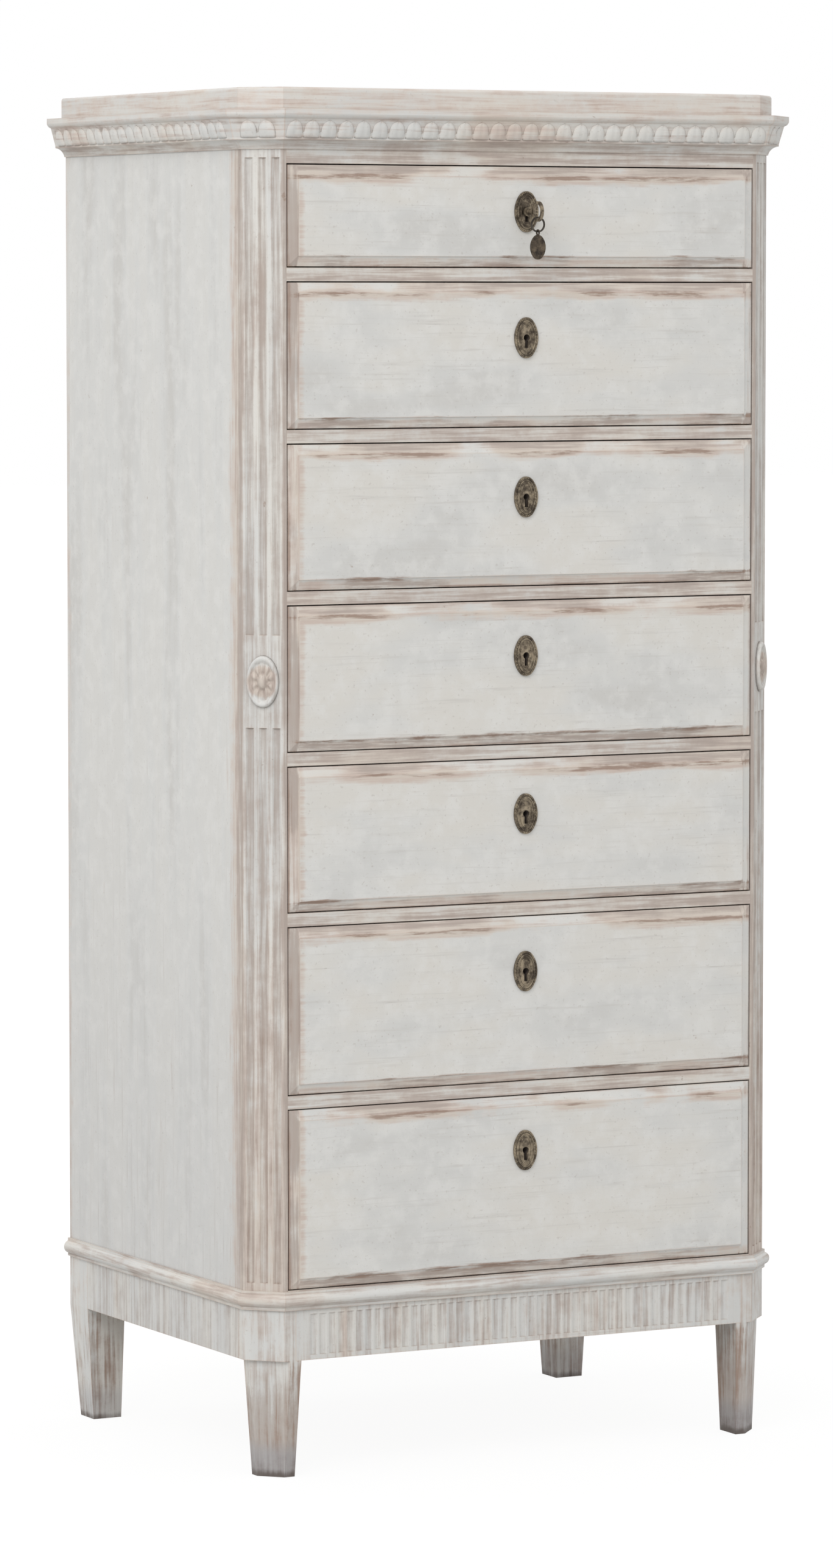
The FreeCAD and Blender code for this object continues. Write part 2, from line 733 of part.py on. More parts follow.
def drawer_front(number):
    body = new_body("drawer_front_%d" % number)
    tall = "opening_%d - front_foot_gap - front_head_gap" % number
    edge = "front_edge_thickness"
    shoulder = "front_edge_thickness + bevel_rise"
    slab = new_sketch(body, "XZ_Plane")
    rectangle(slab, across("front_half"), ("0", tall))
    pad(body, slab, shoulder)
    for end, inward in (("0", 1), (tall, -1)):
        waste = new_sketch(body, "YZ_Plane")
        outline(waste, [("-(%s)" % shoulder, end), ("-(%s)" % shoulder, "%s + %d * bevel_width" % (end, inward)),
                        ("-(%s)" % edge, end)])
        pocket(body, waste, "2 * carcass_width", both_ways=True)
    for side in (LEFT, RIGHT):
        waste = new_sketch(body, "XY_Plane", lift=tall)
        rim = "%d * front_half" % side
        outline(waste, [(rim, "-(%s)" % shoulder), ("%s - %d * bevel_width" % (rim, side), "-(%s)" % shoulder),
                        (rim, "-(%s)" % edge)])
        pocket(body, waste, tall)
    field = new_sketch(body, "XZ_Plane", lift=shoulder)
    rectangle(field, across("front_half - bevel_width"), ("bevel_width", "%s - bevel_width" % tall))
    pad(body, field, "field_step")
    for side in (LEFT, RIGHT):
        rebate = new_sketch(body, "XZ_Plane")
        rectangle(rebate, at_side(side, "box_inner", "front_half"), ("0", tall))
        pocket(body, rebate, "rebate_depth", backward=True)
    groove = new_sketch(body, "XZ_Plane")
    groove_low = "running_gap + box_bottom_rise - front_foot_gap"
    rectangle(groove, across("box_inner"), (groove_low, "%s + groove_height" % groove_low))
    pocket(body, groove, "groove_depth", backward=True)
    level = "%s - floor_%d - front_foot_gap" % (lock_level(number), number)
    recess = new_sketch(body, "XZ_Plane")
    rectangle(recess, across("lock_width / 2 + lock_fit"), ("%s - lock_below_key - lock_fit" % level, tall))
    pocket(body, recess, "lock_depth + lock_fit", backward=True)
    cut_keyhole(body, level, "front_thickness", "front_thickness")
    place(body, ("0", "front_back", "floor_%d + front_foot_gap" % number))
    return body


# Drawer boxes: two grooved sides, a back and a bottom that slides in from behind
def drawer_box(number):
    low = "floor_%d + running_gap" % number
    high = "floor_%d + opening_%d - box_head_gap" % (number, number)
    groove_low = "%s + box_bottom_rise" % low
    groove_high = "%s + groove_height" % groove_low
    side_front = "front_back - rebate_depth"
    pieces = []
    for side in (LEFT, RIGHT):
        wall = board("box_side", at_side(side, "box_inner", "front_half"), (side_front, "box_rear"), (low, high))
        groove = board("box_groove", at_side(side, "box_inner", "box_inner + groove_depth"),
                       (side_front, "box_rear"), (groove_low, groove_high))
        pieces.append(cut("box_side", wall, [groove]))
    pieces.append(board("box_back", across("box_inner"), ("box_rear - box_back_thickness", "box_rear"),
                        (groove_high, "%s - box_back_drop" % high)))
    pieces.append(board("box_bottom", across("box_inner + groove_depth - groove_play"),
                        ("front_back - groove_depth + groove_play", "box_rear"),
                        (groove_low, "%s + box_bottom_thickness" % groove_low)))
    return group("drawer_box_%d" % number, pieces)


# Locks: an open case let into the drawer front, and a bolt lifted by its talon
def lock_case(number):
    level = lock_level(number)
    top = "floor_%d + opening_%d - front_head_gap" % (number, number)
    bottom = "%s - lock_below_key" % level
    case = board("lock_metal", across("lock_width / 2"), ("front_back - lock_depth", "front_back"), (bottom, top))
    hollow = board("lock_hollow", across("lock_width / 2 - lock_wall"),
                   ("front_back - lock_depth", "front_back - lock_cap"),
                   ("%s + lock_wall" % bottom, "%s - lock_wall" % top))
    slot = board("lock_slot", across("bolt_width / 2 + bolt_fit"),
                 ("bolt_front - bolt_fit", "bolt_front + bolt_thickness + bolt_fit"),
                 ("%s - lock_wall" % top, top))
    return cut("lock_%d" % number, case, [hollow, slot])


def lock_bolt(number):
    body = new_body("lock_bolt_%d" % number)
    top = "floor_%d + opening_%d - front_head_gap - (%s)" % (number, number, lock_level(number))
    half = "bolt_width / 2"
    sketch = new_sketch(body, "XZ_Plane")
    outline(sketch, [
        ("-(%s)" % half, "bolt_head_rise"),
        ("bolt_talon_near", "bolt_head_rise"),
        ("bolt_talon_near", "-bolt_talon_low"),
        ("bolt_talon_far", "-bolt_talon_low"),
        ("bolt_talon_far", "bolt_head_rise"),
        (half, "bolt_head_rise"),
        (half, "%s - bolt_fit" % top),
        ("-(%s)" % half, "%s - bolt_fit" % top),
    ])
    pad(body, sketch, "bolt_thickness", backward=True)
    place(body, ("0", "bolt_front", lock_level(number)))
    return body


def escutcheon(number):
    body = new_body("escutcheon_%d" % number)
    plate = new_sketch(body, "XZ_Plane")
    oval(plate, "escutcheon_width", "escutcheon_height")
    pad(body, plate, "escutcheon_thickness")
    cut_keyhole(body, "0", "escutcheon_thickness", "escutcheon_thickness")
    place(body, ("0", "field_plane", lock_level(number)))
    return body


# Key of the first drawer, with the ring and the tag that hang from its bow
def key():
    body = new_body("key")
    tip = "lock_cap + bolt_fit"
    bow_near = "front_back - bow_centre - key_bow_width / 2"
    collar_start = "front_back - field_plane + escutcheon_thickness + key_collar_gap"
    shank = new_sketch(body, "XZ_Plane", lift=tip)
    circle(shank, "0", "key_shank_radius")
    pad(body, shank, "%s + key_bow_rim / 2 - (%s)" % (bow_near, tip))
    collar = new_sketch(body, "XZ_Plane", lift=collar_start)
    circle(collar, "0", "key_collar_radius")
    pad(body, collar, "key_collar_length")
    bit = new_sketch(body, "XZ_Plane", lift=tip)
    rectangle(bit, across("key_bit_width / 2"), ("-key_bit_reach", "0"))
    pad(body, bit, "key_bit_thickness")
    bow = new_sketch(body, "YZ_Plane", lift="-key_bow_thickness / 2", shift=("bow_centre - front_back", "0"))
    circle(bow, "0", "key_bow_width / 2")
    circle(bow, "0", "key_bow_width / 2 - key_bow_rim")
    pad(body, bow, "key_bow_thickness")
    place(body, ("0", "front_back", "key_level"))
    return body


def key_ring():
    """A flat ring; its section is a square of twice the wire's half width."""
    body = new_body("key_ring")
    sketch = new_sketch(body, "XZ_Plane", lift="-key_ring_wire")
    circle(sketch, "0", "key_ring_radius + key_ring_wire")
    circle(sketch, "0", "key_ring_radius - key_ring_wire")
    pad(body, sketch, "2 * key_ring_wire")
    place(body, ("0", "bow_centre", "key_level - ring_drop"))
    return body


def key_tag():
    """An oval plate with a small upright bail that the ring runs through."""
    body = new_body("key_tag")
    plate = new_sketch(body, "XZ_Plane", lift="-tag_thickness / 2")
    oval(plate, "tag_width", "tag_height", "-tag_top_drop - tag_height / 2")
    pad(body, plate, "tag_thickness")
    bail = new_sketch(body, "YZ_Plane", lift="-bail_thickness / 2")
    circle(bail, "-bail_drop", "bail_hole_radius + bail_rim")
    circle(bail, "-bail_drop", "bail_hole_radius")
    pad(body, bail, "bail_thickness")
    place(body, ("0", "bow_centre", "key_level"))
    return body


def build():
    """Make every piece; the names here are the names of the nodes."""
    pieces = {
        "side_panel_left": side_panel("side_panel_left", LEFT),
        "side_panel_right": side_panel("side_panel_right", RIGHT),
        "corner_post_left": corner_post("corner_post_left", LEFT),
        "corner_post_right": corner_post("corner_post_right", RIGHT),
        "post_rosettes": group("post_rosettes", [rosette("rosette_left", LEFT), rosette("rosette_right", RIGHT)]),
        "top_rail": top_rail(),
        "drawer_rails": drawer_rails(),
        "drawer_runners": drawer_runners(),
        "drawer_guides": drawer_guides(),
        "drawer_stops": drawer_stops(),
        "bottom_board": board("bottom_board", across("side_inner"), ("rail_back", "inner_back"),
                              ("base_top", "floor_7")),
        "sub_top": board("sub_top", across("side_inner"), ("post_back", "inner_back"),
                         ("carcass_top - sub_top_thickness", "carcass_top")),
        "back_boards": back_boards(),
        "top_board": top_board(),
        "cornice": cornice(),
        "plinth_moulding": plinth_moulding(),
        "apron_front": apron_front(),
        "apron_sides": apron_sides(),
        "apron_back": apron_back(),
        "leg_front_left": leg("leg_front_left", LEFT, True),
        "leg_front_right": leg("leg_front_right", RIGHT, True),
        "legs_rear": group("legs_rear", [leg("leg_rear_left", LEFT, False), leg("leg_rear_right", RIGHT, False)]),
        "key": key(),
        "key_ring": key_ring(),
        "key_tag": key_tag(),
    }
    for number in DRAWERS:
        pieces["drawer_front_%d" % number] = drawer_front(number)
        pieces["drawer_box_%d" % number] = drawer_box(number)
        pieces["escutcheon_%d" % number] = escutcheon(number)
        pieces["lock_%d" % number] = lock_case(number)
        pieces["lock_bolt_%d" % number] = lock_bolt(number)
    return pieces


def check(pieces):
    """Stop if any object failed or any piece has no sound shape."""
    doc.recompute()
    for item in doc.Objects:
        if "Invalid" in item.State or "Error" in item.State:
            raise RuntimeError("%s is not valid" % item.Name)
    for name, piece in pieces.items():
        if piece.Shape.isNull() or not piece.Shape.isValid() or not piece.Shape.Solids:
            raise RuntimeError("%s has no sound shape" % name)


nodes = build()
check(nodes)
os.makedirs("parts", exist_ok=True)
for node_name, node in nodes.items():
    node.Label = node_name
    node.Shape.exportStep("parts/%s.step" % node_name)
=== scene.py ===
import math
import bmesh
import bpy
from mathutils import Matrix, Vector


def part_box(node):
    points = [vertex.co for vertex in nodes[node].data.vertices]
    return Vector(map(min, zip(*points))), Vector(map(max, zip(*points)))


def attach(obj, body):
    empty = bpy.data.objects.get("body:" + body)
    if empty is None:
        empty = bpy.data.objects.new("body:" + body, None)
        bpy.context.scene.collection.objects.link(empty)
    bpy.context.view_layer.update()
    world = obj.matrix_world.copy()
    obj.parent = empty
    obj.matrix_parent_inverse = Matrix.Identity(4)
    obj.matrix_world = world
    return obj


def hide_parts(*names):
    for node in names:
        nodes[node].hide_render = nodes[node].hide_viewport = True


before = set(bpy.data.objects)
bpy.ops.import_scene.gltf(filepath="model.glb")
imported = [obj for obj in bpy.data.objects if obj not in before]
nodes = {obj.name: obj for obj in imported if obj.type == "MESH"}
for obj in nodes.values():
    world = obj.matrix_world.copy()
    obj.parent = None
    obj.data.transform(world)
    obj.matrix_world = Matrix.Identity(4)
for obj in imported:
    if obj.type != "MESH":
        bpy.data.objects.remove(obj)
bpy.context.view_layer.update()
DRAWERS = range(1, 8)
HANDS = {"left": -1, "right": 1}
MM = 0.001


def srgb(red, green, blue):
    """A colour given as 0 to 255 on screen, as the linear colour that shaders use."""
    linear = []
    for part in (red, green, blue):
        share = part / 255
        linear.append(share / 12.92 if share <= 0.04045 else ((share + 0.055) / 1.055) ** 2.4)
    return (*linear, 1)


# Colours of the worn paint, from the palest coat to the unpainted wood, soil and cold grey; the darker ones
# also serve as painted shade in gaps, hollows, flutes, under edges and low on the sides
PALE_COAT = srgb(221, 220, 217)
WARM_COAT = srgb(214, 211, 205)
COOL_COAT = srgb(210, 210, 208)
DULL_COAT = srgb(195, 192, 187)
PITTED = srgb(174, 167, 160)
BEIGE_GROUND = srgb(207, 195, 183)
PINK_GROUND = srgb(199, 181, 170)
SMOKE_AND_SHADE = srgb(166, 154, 146)
BARE_BROWN = srgb(148, 124, 109)
GRIME_AND_SHADE = srgb(98, 89, 84)
COLD_DUST_AND_SHADE = srgb(150, 149, 153)

# Colours of the old pine
PALE_PINE = srgb(197, 173, 140)
DULL_PINE = srgb(176, 150, 118)
LATE_WOOD = srgb(146, 113, 81)
DARK_FIBRES = srgb(122, 90, 62)
KNOTS = srgb(92, 60, 38)
PINE_CORNER_SHADE = srgb(70, 52, 38)

# Colours of the metals, tarnished and rubbed
DULL_BRASS = srgb(72, 62, 51)
RUBBED_BRASS = srgb(164, 150, 128)
DULL_IRON = srgb(50, 45, 41)
RUBBED_IRON = srgb(92, 85, 77)
DULL_TAG = srgb(42, 34, 28)
RUBBED_TAG = srgb(104, 91, 75)
METAL_HOLLOWS = srgb(30, 23, 18)

# Colours of the surroundings
WHITE = (1, 1, 1, 1)
FLOOR_DARK = (0.58, 0.58, 0.57, 1)
FLOOR_LIGHT = (0.6, 0.6, 0.59, 1)


class Shader:
    """A material, or the world, whose nodes are added and linked one at a time."""

    def __init__(self, name, owner=None):
        self.owner = owner or bpy.data.materials.new(name)
        self.owner.use_nodes = True
        self.tree = self.owner.node_tree
        self.tree.nodes.clear()

    def add(self, kind, inputs=None, output=0, **settings):
        """Add a node, link or set its inputs, and return one of its outputs."""
        node = self.tree.nodes.new(kind)
        for setting, choice in settings.items():
            setattr(node, setting, choice)
        for key, source in (inputs or {}).items():
            socket = node.inputs[key]
            if isinstance(source, bpy.types.NodeSocket):
                self.tree.links.new(source, socket)
            else:
                socket.default_value = source
        return node.outputs[output] if node.outputs else node

    def place(self):
        """Position in the frame, which stays with a piece when it moves."""
        return self.add("ShaderNodeTexCoord", output="Object")

    def noise(self, vector, scale, detail=3.0, rough=0.55):
        """Soft noise about one half. Three scales stretch it along the axis with the least of them."""
        if isinstance(scale, tuple):
            vector = self.add("ShaderNodeMapping", {"Vector": vector, "Scale": scale})
            scale = 1.0
        inputs = {"Vector": vector, "Scale": scale, "Detail": detail, "Roughness": rough}
        return self.add("ShaderNodeTexNoise", inputs)

    def calc(self, operation, first, second=0.0):
        return self.add("ShaderNodeMath", {0: first, 1: second}, operation=operation)

    def plus(self, first, second):
        return self.calc("ADD", first, second)

    def minus(self, first, second):
        return self.calc("SUBTRACT", first, second)

    def times(self, first, second):
        return self.calc("MULTIPLY", first, second)

    def greatest(self, most, *others):
        for other in others:
            most = self.calc("MAXIMUM", most, other)
        return most

    def swing(self, noise, share):
        """Noise as a small plus or minus about nought."""
        return self.times(self.minus(noise, 0.5), share)

    def ramp(self, source, start, end):
        """From nought at the start to one at the end, smoothly. The start may be the larger of the two."""
        inputs = {"Value": source, "From Min": start, "From Max": end}
        return self.add("ShaderNodeMapRange", inputs, interpolation_type="SMOOTHSTEP")

    def band(self, source, start, end, share):
        """A share that comes in smoothly between a start and an end."""
        return self.times(self.ramp(source, start, end), share)

    def line(self, source, at, spread, share):
        """A share that is whole at one value of the source and fades out to either side."""
        off = self.calc("ABSOLUTE", self.minus(source, at))
        return self.band(off, spread, 0.0, share)

    def mix(self, share, first, second):
        """One number, or another, or a share of each."""
        return self.add("ShaderNodeMix", {0: share, 2: first, 3: second})

    def blend(self, share, first, second):
        """One colour, or another, or a share of each."""
        return self.add("ShaderNodeMix", {0: share, 6: first, 7: second}, output=2, data_type="RGBA")

    def axis(self, vector, letter):
        return self.add("ShaderNodeSeparateXYZ", {"Vector": vector}, output=letter)

    def dot(self, first, second):
        inputs = {0: first, 1: second}
        return self.add("ShaderNodeVectorMath", inputs, output="Value", operation="DOT_PRODUCT")

    def facing(self, direction, start, end):
        """One on faces that look along a direction."""
        normal = self.add("ShaderNodeNewGeometry", output="True Normal")
        return self.ramp(self.dot(normal, direction), start, end)

    def worn_edges(self, radius):
        """One on edges, nought on flat faces."""
        rounded = self.add("ShaderNodeBevel", {"Radius": radius}, samples=6)
        flat = self.add("ShaderNodeNewGeometry", output="Normal")
        return self.minus(1.0, self.dot(rounded, flat))

    def corners(self, distance):
        """One deep in corners and gaps, nought in the open."""
        open_air = self.add("ShaderNodeAmbientOcclusion", {"Distance": distance}, output="AO", samples=8)
        return self.minus(1.0, open_air)

    def bump(self, height, depth, strength):
        return self.add("ShaderNodeBump", {"Height": height, "Distance": depth, "Strength": strength})

    def finish(self, colour, roughness, normal, metallic=0.0):
        inputs = {"Base Color": colour, "Roughness": roughness, "Normal": normal, "Metallic": metallic}
        surface = self.add("ShaderNodeBsdfPrincipled", inputs)
        self.add("ShaderNodeOutputMaterial", {"Surface": surface})
        return self.owner


# Scales of the brush strokes and of the soft clouds, which run along the axis with the small number
UPRIGHT = {"strokes": (260, 260, 10), "clouds": (26, 26, 2.5)}
LEVEL = {"strokes": (12, 12, 300), "clouds": (6, 6, 14)}
ALONG_TOP = {"strokes": (9, 220, 220), "clouds": (6, 14, 14)}


def paint(name, brush, turned=UPRIGHT, ground=0.0, edge_wear=0.5, patches=0.3, scars=0.0, smoke_and_shade=0.0,
          warmth=1.0, drift=0.3, pale=0.6, combed=0.5, seams=0.6, dust_and_shade=0.0, zone=None):
    """Thin grey-white paint, rubbed through to a beige ground, sooted, and scarred to the wood, with painted
    shade deep in its gaps and, through its zones, in hollows and under edges.

    The shares say how much of each there is. A zone changes them from place to place, and says where
    the strokes are turned the other way.
    """
    shader = Shader(name)
    place = shader.place()
    clouds = shader.noise(place, brush["clouds"])
    smudges = shader.noise(place, 48.0, detail=5.0, rough=0.65)
    brushed = shader.noise(place, brush["strokes"], detail=5.0, rough=0.62)
    pits = shader.noise(place, 330.0, detail=2.0)
    shares = {"wear": ground, "scars": scars, "smoke_and_shade": smoke_and_shade, "grime_and_shade": 0.0, "turned": 0.0, "dust_and_shade": dust_and_shade}
    if zone:
        shares.update(zone(shader, place, shares))
        other_way = shader.noise(place, turned["strokes"], detail=5.0, rough=0.62)
        brushed = shader.mix(shares["turned"], brushed, other_way)

    # The coat, with its tints, brush marks and pits
    coat = shader.blend(shader.band(clouds, 0.38, 0.62, warmth), COOL_COAT, WARM_COAT)
    coat = shader.blend(shader.band(clouds, 0.5, 0.3, drift), coat, DULL_COAT)
    coat = shader.blend(shader.band(smudges, 0.42, 0.68, pale), coat, PALE_COAT)
    coat = shader.blend(shader.band(brushed, 0.54, 0.74, combed), coat, DULL_COAT)
    coat = shader.blend(shader.band(pits, 0.62, 0.74, 0.35), coat, PITTED)

    # Where it is rubbed, sooted, scarred, flaked and soiled, and where painted shade darkens gaps, hollows
    # and lower edges
    broken = shader.plus(shader.swing(smudges, 0.7), shader.swing(brushed, 0.6))
    streaked = shader.plus(shader.swing(smudges, 0.5), shader.swing(brushed, 1.3))
    rubbed = shader.band(shader.worn_edges(3 * MM), 0.02, 0.3, edge_wear)
    thin = shader.band(clouds, 0.55, 0.7, patches)
    wear = shader.plus(shares["wear"], shader.greatest(rubbed, thin))
    wear = shader.ramp(shader.plus(wear, broken), 0.2, 0.62)
    # Soot stains, and painted shade where zones darken lower bevels, flutes, hollows and low sides
    smoked_and_shaded = shader.ramp(shader.plus(shares["smoke_and_shade"], streaked), 0.2, 0.7)
    scarred = shader.plus(shares["scars"], shader.times(rubbed, 0.4))
    scarred = shader.ramp(shader.plus(scarred, streaked), 0.42, 0.8)
    flaked = shader.ramp(shader.noise(place, 75.0, detail=4.0, rough=0.7), 0.69, 0.75)
    # Painted shade: ambient occlusion darkens the paint deep in gaps and corners
    gaps = shader.band(shader.corners(8 * MM), 0.3, 0.9, seams)
    dirt_and_shade = shader.greatest(gaps, shader.ramp(shader.plus(shares["grime_and_shade"], broken), 0.2, 0.9))

    # One layer over another
    under = shader.blend(shader.ramp(brushed, 0.4, 0.62), BEIGE_GROUND, PINK_GROUND)
    colour = shader.blend(shader.times(wear, 0.85), coat, under)
    colour = shader.blend(shader.times(smoked_and_shaded, 0.75), colour, SMOKE_AND_SHADE)
    colour = shader.blend(shader.times(scarred, 0.8), colour, BARE_BROWN)
    colour = shader.blend(shader.times(flaked, 0.6), colour, BARE_BROWN)
    # Cold grey film; low on the sides it is painted shade
    if shares["dust_and_shade"]:
        colour = shader.blend(shares["dust_and_shade"], colour, COLD_DUST_AND_SHADE)
    colour = shader.blend(dirt_and_shade, colour, GRIME_AND_SHADE)
    relief = shader.plus(brushed, shader.times(pits, 0.4))
    relief = shader.minus(relief, shader.times(wear, 0.5))
    roughness = shader.plus(0.56, shader.times(wear, 0.2))
    return shader.finish(colour, roughness, shader.bump(relief, 0.3 * MM, 0.45))


def front_border(low, high, plate_low, plate_high):
    """Wear round one drawer front: rubbed at its edge, scarred along its head, with painted shade on its
    lower bevel and in its keyhole.
    """
    plate = (plate_low + plate_high) / 2
    hidden = 0.35 * (plate_high - plate_low)

    def zone(shader, place, shares):
        across, up = shader.axis(place, "X"), shader.axis(place, "Z")
        stretches = shader.ramp(shader.noise(place, (9, 9, 30), detail=2.0), 0.36, 0.6)
        patches = shader.ramp(shader.noise(place, (5, 5, 8), detail=2.0), 0.36, 0.56)
        flecks = shader.swing(shader.noise(place, (40, 40, 380), detail=4.0, rough=0.65), 2.4)
        more = shader.plus(stretches, 0.4)
        head = shader.minus(high.z, up)
        foot = shader.minus(up, low.z)
        left = shader.minus(across, low.x)
        right = shader.minus(high.x, across)

        wear = shader.greatest(
            shader.times(shader.band(head, 24 * MM, 9 * MM, 0.6), more),
            shader.band(left, 22 * MM, 12 * MM, 0.48),
            shader.band(right, 12 * MM, 3 * MM, 0.25),
            shader.band(foot, 15 * MM, 5 * MM, 0.5))

        upper_line = shader.line(head, 11 * MM, 7 * MM, 0.68)
        lower_line = shader.line(foot, 9 * MM, 6 * MM, 0.6)
        lines = shader.times(shader.greatest(upper_line, lower_line), stretches)
        scars = shader.greatest(
            shader.times(lines, shader.plus(flecks, 1.05)),
            shader.band(left, 8 * MM, 0.0, 0.55),
            shader.band(foot, 5 * MM, 0.0, 0.5))

        # Painted shade on the lower bevel, which faces down, in ragged streaks
        ragged = shader.minus(foot, shader.swing(stretches, 6 * MM))
        foot_edge = shader.times(shader.band(ragged, 14 * MM, 4 * MM, 0.4), more)
        smoke_and_shade = shader.greatest(
            shader.times(foot_edge, shader.plus(flecks, 1.0)),
            shader.times(shader.band(head, 15 * MM, 4 * MM, 0.4), more),
            shader.times(shader.band(left, 13 * MM, 8 * MM, 0.6), shader.plus(patches, 0.35)),
            shader.band(right, 5 * MM, 1 * MM, 0.3))

        turned = shader.ramp(shader.calc("MINIMUM", left, right), 12 * MM, 10 * MM)
        # Painted shade inside the keyhole, under the plate
        keyhole = shader.times(
            shader.line(across, plate.x, hidden.x, 3.0), shader.line(up, plate.z, hidden.z, 3.0))
        return {"wear": wear, "scars": scars, "smoke_and_shade": smoke_and_shade, "turned": turned, "grime_and_shade": keyhole}

    return zone


def side_border(low, high):
    """Rubbed bands along the front and rear edges of a side, which darkens a little towards its foot as
    painted shade.
    """

    def zone(shader, place, shares):
        back, up = shader.axis(place, "Y"), shader.axis(place, "Z")
        front_gap = shader.minus(back, low.y)
        rear_gap = shader.minus(high.y, back)
        wear = shader.greatest(
            shader.band(front_gap, 36 * MM, 4 * MM, 0.55), shader.band(rear_gap, 16 * MM, 3 * MM, 0.35))
        # Painted shade darkens and greys the lower part, as if lit from above
        smoke_and_shade = shader.greatest(
            shader.band(up, 0.6 * high.z, low.z, 0.14), shader.band(front_gap, 22 * MM, 0.0, 0.4))
        return {"wear": wear, "smoke_and_shade": smoke_and_shade, "dust_and_shade": shader.band(up, 0.6 * high.z, low.z, 0.15)}

    return zone


def hollows(start, inward, half_width, depth, share):
    """Dirt and painted shade in the flutes: what lies behind a face, within a strip of it."""
    sideways = Vector(inward).cross(Vector((0, 0, 1)))

    def zone(shader, place, shares):
        away = shader.add("ShaderNodeVectorMath", {0: place, 1: start}, operation="SUBTRACT")
        sunk = shader.dot(away, inward)
        aside = shader.calc("ABSOLUTE", shader.dot(away, sideways))
        inside = shader.ramp(aside, half_width + 1 * MM, half_width)
        # Dirt and painted shade deep in each flute
        flute = shader.times(inside, shader.ramp(sunk, 0.1 * depth, 0.8 * depth))
        rim = shader.band(aside, half_width - 4 * MM, half_width + 1 * MM, 0.25)
        smoke_and_shade = shader.plus(shares["smoke_and_shade"], shader.times(flute, share))
        return {"smoke_and_shade": shader.plus(smoke_and_shade, rim), "wear": shader.plus(shares["wear"], rim)}

    return zone


def post_wear(flutes, foot, top, block):
    """Flutes darkened with soiling and painted shade, a dull block between them, and more wear towards the
    foot of a corner post.
    """

    def zone(shader, place, shares):
        dirty_and_shaded = flutes(shader, place, shares)
        up = shader.axis(place, "Z")
        lower = shader.band(up, top, foot, 0.34)
        dulled = shader.line(up, block, 75 * MM, 0.12)
        return {
            "smoke_and_shade": shader.plus(dirty_and_shaded["smoke_and_shade"], dulled),
            "scars": shader.plus(shares["scars"], lower),
            "wear": shader.plus(dirty_and_shaded["wear"], lower),
        }

    return zone


def cornice_levels(low):
    """Painted shade, with some soiling, in the hollow under the cornice and between the tips of its leaves.
    """

    def zone(shader, place, shares):
        rise = shader.minus(shader.axis(place, "Z"), low.z)
        lower = shader.band(rise, 14 * MM, 9 * MM, 0.3)
        tips = shader.line(rise, 25 * MM, 8 * MM, 0.34)
        return {"smoke_and_shade": shader.plus(lower, shares["smoke_and_shade"]), "grime_and_shade": tips}

    return zone


def top_strokes(shader, place, shares):
    """On the top the strokes run along it."""
    return {"turned": shader.facing((0, 0, 1), 0.7, 0.9)}


def leg_faces(top, dim):
    """Pale outer faces, streaked front, rear and inner faces darkened partly as painted shade under the
    chest, and feet that dim and turn a cold grey.
    """

    def zone(shader, place, shares):
        up = shader.axis(place, "Z")
        inward = shader.times(shader.calc("SIGN", shader.axis(place, "X")), -1.0)
        inner = shader.add("ShaderNodeCombineXYZ", {"X": inward})
        # Unpainted streaks, and painted shade where faces look in under the chest
        bare_and_shaded = shader.greatest(
            shader.facing((0, -1, 0), 0.8, 0.95), shader.facing(inner, 0.6, 0.9),
            shader.facing((0, 1, 0), 0.8, 0.95))
        bare_and_shaded = shader.times(bare_and_shaded, shader.ramp(up, top + 8 * MM, top - 8 * MM))
        lower = shader.ramp(up, 1.1 * top, 0.4 * top)
        smoke_and_shade = shader.plus(shader.times(bare_and_shaded, 0.06), shader.times(lower, dim))
        scars = shader.times(shader.greatest(bare_and_shaded, shader.times(lower, 0.8)), 0.38)
        toe = shader.band(up, 9 * MM, 1 * MM, 0.45)
        return {
            "smoke_and_shade": shader.plus(smoke_and_shade, shares["smoke_and_shade"]),
            "scars": shader.plus(scars, shares["scars"]),
            "grime_and_shade": shader.plus(shader.band(up, 40 * MM, 8 * MM, dim), toe),
            "dust_and_shade": shader.band(up, 40 * MM, 20 * MM, 1.3 * dim),
        }

    return zone


def round_spot(centre, reach, share):
    """A rubbed spot about a point."""

    def zone(shader, place, shares):
        inputs = {0: place, 1: centre}
        away = shader.add("ShaderNodeVectorMath", inputs, output="Value", operation="DISTANCE")
        wear = shader.band(away, reach, 0.5 * reach, share)
        smoke_and_shade = shader.plus(shares["smoke_and_shade"], shader.band(away, 0.8 * reach, 0.0, 0.2))
        return {"wear": wear, "smoke_and_shade": smoke_and_shade}

    return zone


# How far along its grain each board's pattern is moved from its neighbour's, in metres
BOARD_SHIFT = 3.7


